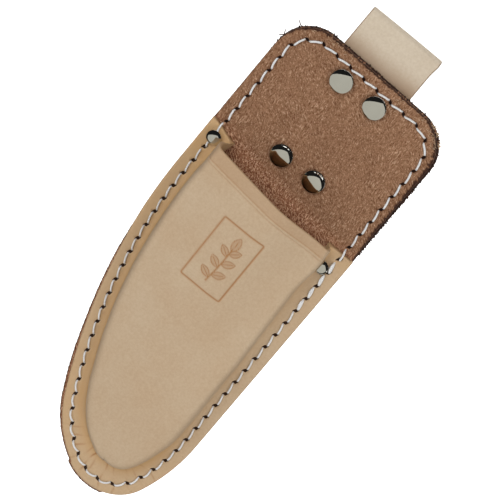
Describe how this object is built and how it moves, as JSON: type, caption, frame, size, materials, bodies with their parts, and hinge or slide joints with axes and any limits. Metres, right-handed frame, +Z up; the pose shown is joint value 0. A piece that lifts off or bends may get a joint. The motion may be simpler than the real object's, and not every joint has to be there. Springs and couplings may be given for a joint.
{
  "type": "secateurs belt sheath",
  "caption": "Leather belt sheath for secateurs: moulded open-topped pocket sewn and riveted to a suede back panel, with a folded belt loop behind the top edge.",
  "frame": {"origin": "centre of the belt tunnel, between the two legs of the belt loop", "axes": "+Z up along the hanging sheath, +X across it to the right as seen from the front, -Y out of the pocket's front"},
  "size_m": [0.0829, 0.0371, 0.242],
  "materials": {
    "suede": "napped flesh side, matt",
    "dark_grain": "dark dyed grain side, semi-matt",
    "pocket_leather": "natural vegetable-tanned, satin",
    "strap_leather": "pale undyed, satin",
    "thread": "waxed twisted thread",
    "nickel": "polished nickel plate"
  },
  "bodies": {
    "root": {"suede_panel": "suede", "backing_panel": "dark_grain", "front_pocket": "pocket_leather", "belt_loop": "strap_leather", "needle_thread": "thread", "bobbin_thread": "thread", "upper_left_rivet_head": "nickel", "upper_left_rivet_stem": "nickel", "upper_left_rivet_socket": "nickel", "upper_left_rivet_cap": "nickel", "upper_right_rivet_head": "nickel", "upper_right_rivet_stem": "nickel", "upper_right_rivet_socket": "nickel", "upper_right_rivet_cap": "nickel", "lower_left_rivet_head": "nickel", "lower_left_rivet_stem": "nickel", "lower_left_rivet_socket": "nickel", "lower_left_rivet_cap": "nickel", "lower_right_rivet_head": "nickel", "lower_right_rivet_stem": "nickel", "lower_right_rivet_socket": "nickel", "lower_right_rivet_cap": "nickel", "mouth_left_rivet_head": "nickel", "mouth_left_rivet_stem": "nickel", "mouth_left_rivet_socket": "nickel", "mouth_left_rivet_cap": "nickel", "mouth_right_rivet_head": "nickel", "mouth_right_rivet_stem": "nickel", "mouth_right_rivet_socket": "nickel", "mouth_right_rivet_cap": "nickel"}
  },
  "joints": []
}
